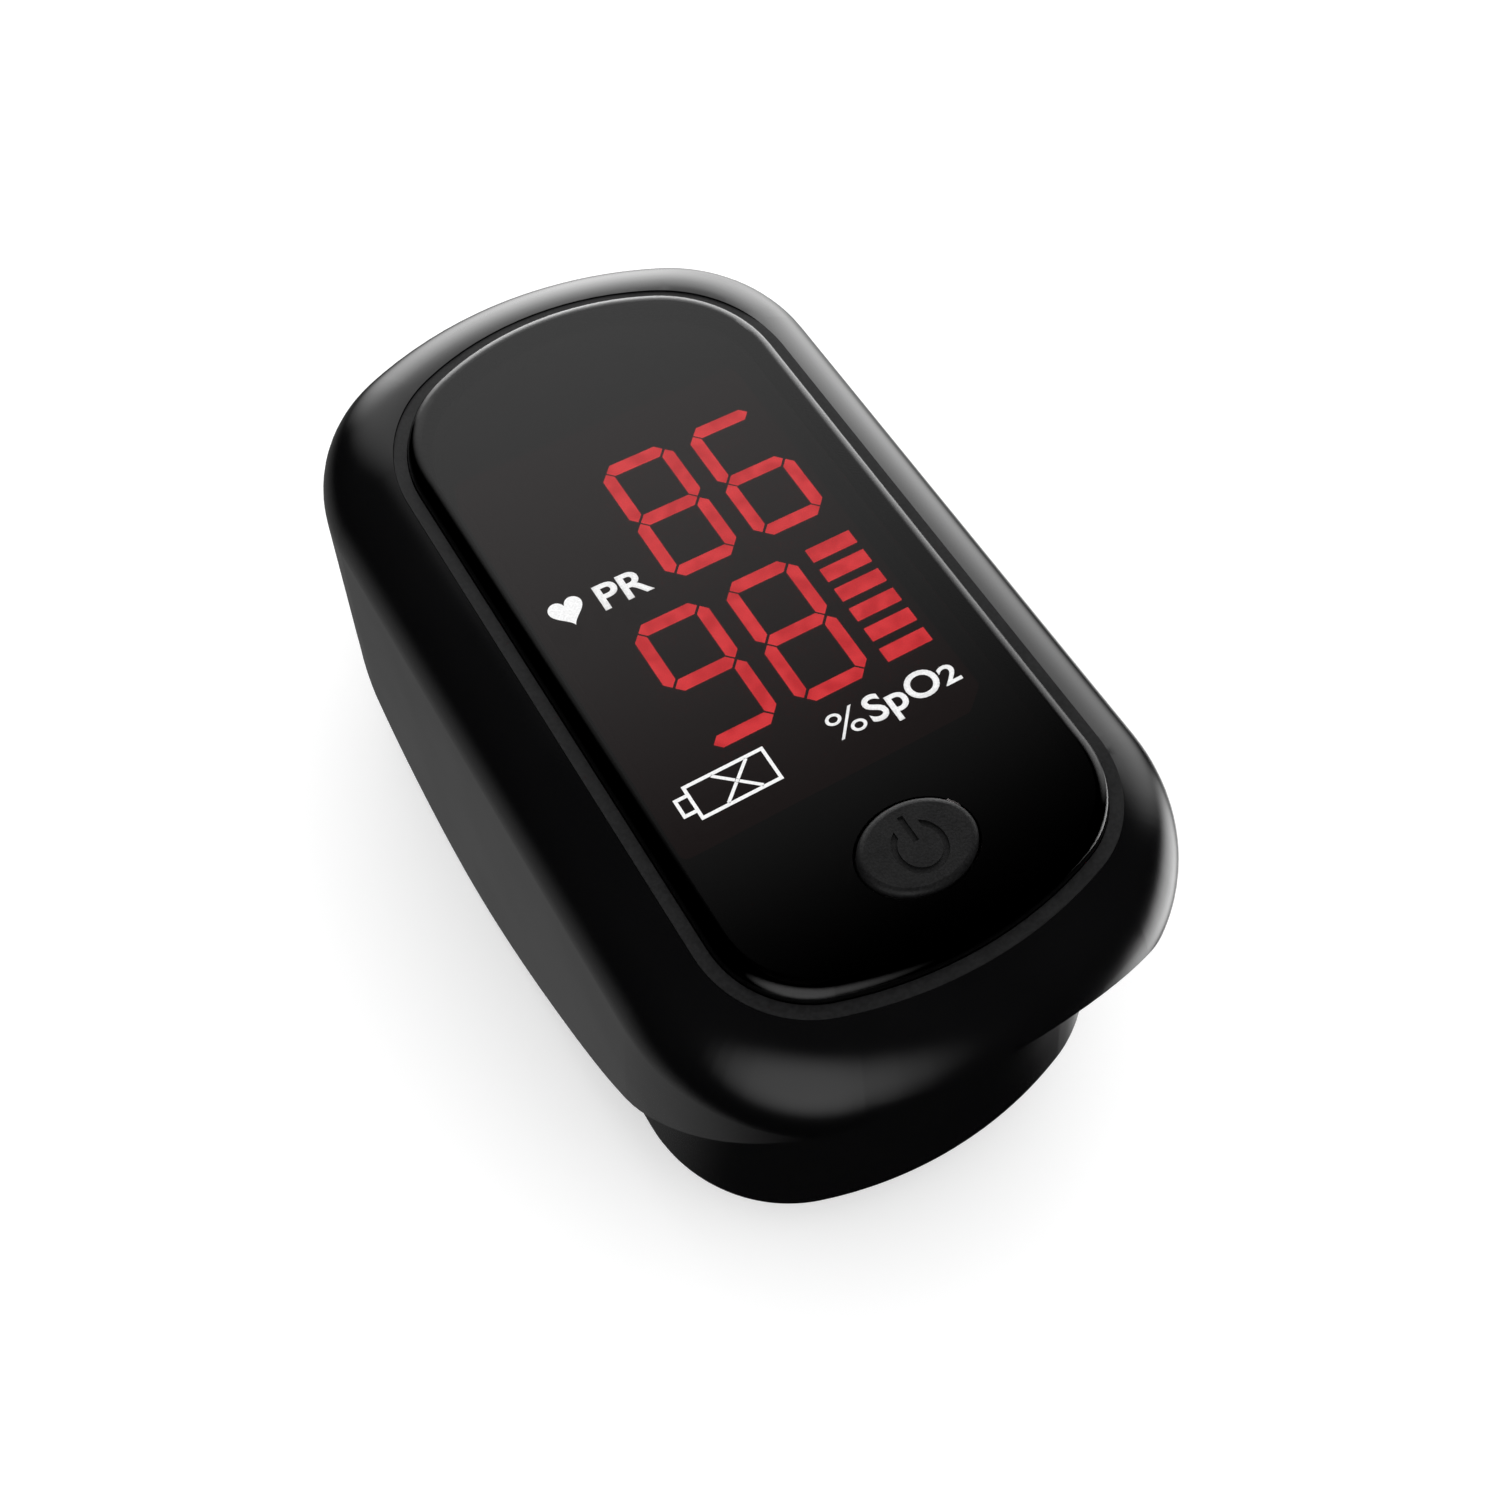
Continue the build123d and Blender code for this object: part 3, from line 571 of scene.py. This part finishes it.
def stroke(start, end, width):
    """Rectangle along a line."""
    start = Vector(start)
    end = Vector(end)
    side = (end - start).normalized().orthogonal() * width / 2
    return [tuple(start + side), tuple(end + side), tuple(end - side), tuple(start - side)]


def heart():
    """Heart outline from its usual curve, which is 32 wide, 29 high and centred on a height of -2.5."""
    points = []
    for step in range(HEART_STEPS):
        turn = 2 * math.pi * step / HEART_STEPS
        x = 16 * math.sin(turn) ** 3
        y = 13 * math.cos(turn) - 5 * math.cos(2 * turn) - 2 * math.cos(3 * turn) - math.cos(4 * turn)
        points.append((HEART_CENTRE[0] + x / 32 * HEART_SIZE[0],
                       HEART_CENTRE[1] + (y + 2.5) / 29 * HEART_SIZE[1]))
    return points


def battery_outline():
    """Strokes of a battery's outline, its nub, and a cross with a dot in its middle."""
    left, right, low, high = BATTERY_BOX
    line = BATTERY_LINE
    half = line / 2
    strokes = [
        stroke((left, high - half), (right, high - half), line),
        stroke((left, low + half), (right, low + half), line),
        stroke((left + half, low + line), (left + half, high - line), line),
        stroke((right - half, low + line), (right - half, high - line), line),
    ]
    nub_left, nub_right, nub_low, nub_high = BATTERY_NUB
    strokes += [
        stroke((nub_left, nub_high - half), (nub_right, nub_high - half), line),
        stroke((nub_left, nub_low + half), (nub_right, nub_low + half), line),
        stroke((nub_left + half, nub_low + line), (nub_left + half, nub_high - line), line),
    ]
    first, last = BATTERY_CROSS
    middle = ((first + last) / 2, (low + high) / 2)
    for x, y in ((first, low + line), (first, high - line), (last, low + line), (last, high - line)):
        gap = Vector((x, y)) - Vector(middle)
        strokes.append(stroke(Vector(middle) + gap.normalized() * CROSS_START, (x, y), CROSS_LINE))
    strokes.append([(middle[0] + BATTERY_DOT * across, middle[1] + BATTERY_DOT * up)
                    for across, up in ((1, 0), (0, 1), (-1, 0), (0, -1))])
    return strokes


def lettering(name, words, x, y, height, width, material, weight):
    """Text with its left end and baseline at (x, y), scaled to a height and width."""
    curve = bpy.data.curves.new(name, "FONT")
    curve.body = words
    curve.size = height * MM * FONT_SIZE_PER_CAPITAL
    curve.offset = weight * MM
    curve.resolution_u = CURVE_STEPS
    piece = bpy.data.objects.new(name, curve)
    bpy.context.scene.collection.objects.link(piece)
    bpy.context.view_layer.update()
    flat = bpy.data.meshes.new_from_object(piece.evaluated_get(bpy.context.evaluated_depsgraph_get()))
    bpy.data.objects.remove(piece)
    mesh = bmesh.new()
    mesh.from_mesh(flat)
    bpy.data.meshes.remove(flat)
    bmesh.ops.remove_doubles(mesh, verts=mesh.verts, dist=1e-7)
    left = min(vertex.co.x for vertex in mesh.verts)
    wide = max(vertex.co.x for vertex in mesh.verts) - left
    tall = max(vertex.co.y for vertex in mesh.verts)
    for vertex in mesh.verts:
        vertex.co.x = x * MM + (vertex.co.x - left) * width * MM / wide
        vertex.co.y = y * MM + vertex.co.y * height * MM / tall
        vertex.co.z = PRINT_Z * MM
    return raised_print(name, mesh, material)


def make_prints():
    ink = print_white()
    made = [
        flat_piece("print_heart", [heart()], ink),
        flat_piece("print_battery", battery_outline(), ink),
        lettering("print_pulse", *PULSE_TEXT, ink, PULSE_WEIGHT),
        lettering("print_percent", *PERCENT_TEXT, ink, PERCENT_WEIGHT),
        lettering("print_oxygen", *OXYGEN_TEXT, ink, OXYGEN_WEIGHT),
        lettering("print_small_two", *SMALL_TWO, ink, SMALL_TWO_WEIGHT),
    ]
    for piece in made:
        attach(piece, "jaw")


# ---------------------------------------------------------------- stage and light
def make_stage():
    """White floor that gloss and the smoked window don't see."""
    bpy.ops.mesh.primitive_plane_add(size=FLOOR_SIZE, location=(0, 0, CAD_BOX[0].z - FLOOR_GAP))
    floor = bpy.context.object
    floor.name = "floor"
    white = new_material("floor_white", (0.92, 0.92, 0.92), 0.9, Emission_Color=(1, 1, 1, 1),
                         Emission_Strength=FLOOR_GLOW)
    floor.data.materials.append(white)
    floor.visible_glossy = False
    floor.visible_transmission = False


def direction_mask(world, centre, near, far):
    """1 within near degrees of a direction and 0 beyond far degrees, with a smooth edge."""
    tree = world.node_tree
    where = tree.nodes.new("ShaderNodeTexCoord")
    dot = tree.nodes.new("ShaderNodeVectorMath")
    dot.operation = "DOT_PRODUCT"
    dot.inputs[1].default_value = Vector(centre).normalized()
    tree.links.new(where.outputs["Generated"], dot.inputs[0])
    edge = tree.nodes.new("ShaderNodeMapRange")
    edge.interpolation_type = "SMOOTHSTEP"
    edge.inputs["From Min"].default_value = math.cos(math.radians(far))
    edge.inputs["From Max"].default_value = math.cos(math.radians(near))
    tree.links.new(dot.outputs["Value"], edge.inputs["Value"])
    return edge.outputs["Result"]


def soft_room(world):
    """Background that is dark but for the soft lamps."""
    tree = world.node_tree
    total = None
    for centre, near, far, strength in SOFT_LAMPS:
        mask = direction_mask(world, centre, near, far)
        scaled = tree.nodes.new("ShaderNodeMath")
        scaled.operation = "MULTIPLY_ADD"
        scaled.inputs[1].default_value = strength
        scaled.inputs[2].default_value = 0.0
        tree.links.new(mask, scaled.inputs[0])
        if total is not None:
            tree.links.new(total, scaled.inputs[2])
        total = scaled.outputs["Value"]
    room = tree.nodes.new("ShaderNodeBackground")
    room.inputs["Color"].default_value = (1, 1, 1, 1)
    tree.links.new(total, room.inputs["Strength"])
    return room


def make_studio():
    """White light for the floor and matt surfaces, and a dark room with soft lamps for reflections."""
    world = bpy.data.worlds.new("studio")
    bpy.context.scene.world = world
    world.use_nodes = True
    tree = world.node_tree
    white = tree.nodes["Background"]
    white.inputs["Color"].default_value = (1, 1, 1, 1)
    white.inputs["Strength"].default_value = WHITE_STRENGTH
    room = soft_room(world)
    path = tree.nodes.new("ShaderNodeLightPath")
    gloss = tree.nodes.new("ShaderNodeMath")
    gloss.operation = "MAXIMUM"
    tree.links.new(path.outputs["Is Glossy Ray"], gloss.inputs[0])
    tree.links.new(path.outputs["Is Transmission Ray"], gloss.inputs[1])
    mix = tree.nodes.new("ShaderNodeMixShader")
    tree.links.new(gloss.outputs["Value"], mix.inputs["Fac"])
    tree.links.new(white.outputs["Background"], mix.inputs[1])
    tree.links.new(room.outputs["Background"], mix.inputs[2])
    tree.links.new(mix.outputs["Shader"], tree.nodes["World Output"].inputs["Surface"])
    bpy.context.scene.view_settings.view_transform = "Standard"


make_camera()
make_stage()
make_studio()
finish_cad_nodes()
soft_black = silicone()
make_pad("lower_pad", "base", LOWER_ARC_Z, -1, LOWER_PAD_FRONT, LOWER_HOLE_CORNERS, soft_black)
make_pad("upper_pad", "jaw", UPPER_ARC_Z, 1, UPPER_PAD_FRONT, UPPER_HOLE_CORNERS, soft_black)
for bending in ("torsion_spring_left", "torsion_spring_right", "sensor_ribbon"):
    make_bending(bending)
make_prints()
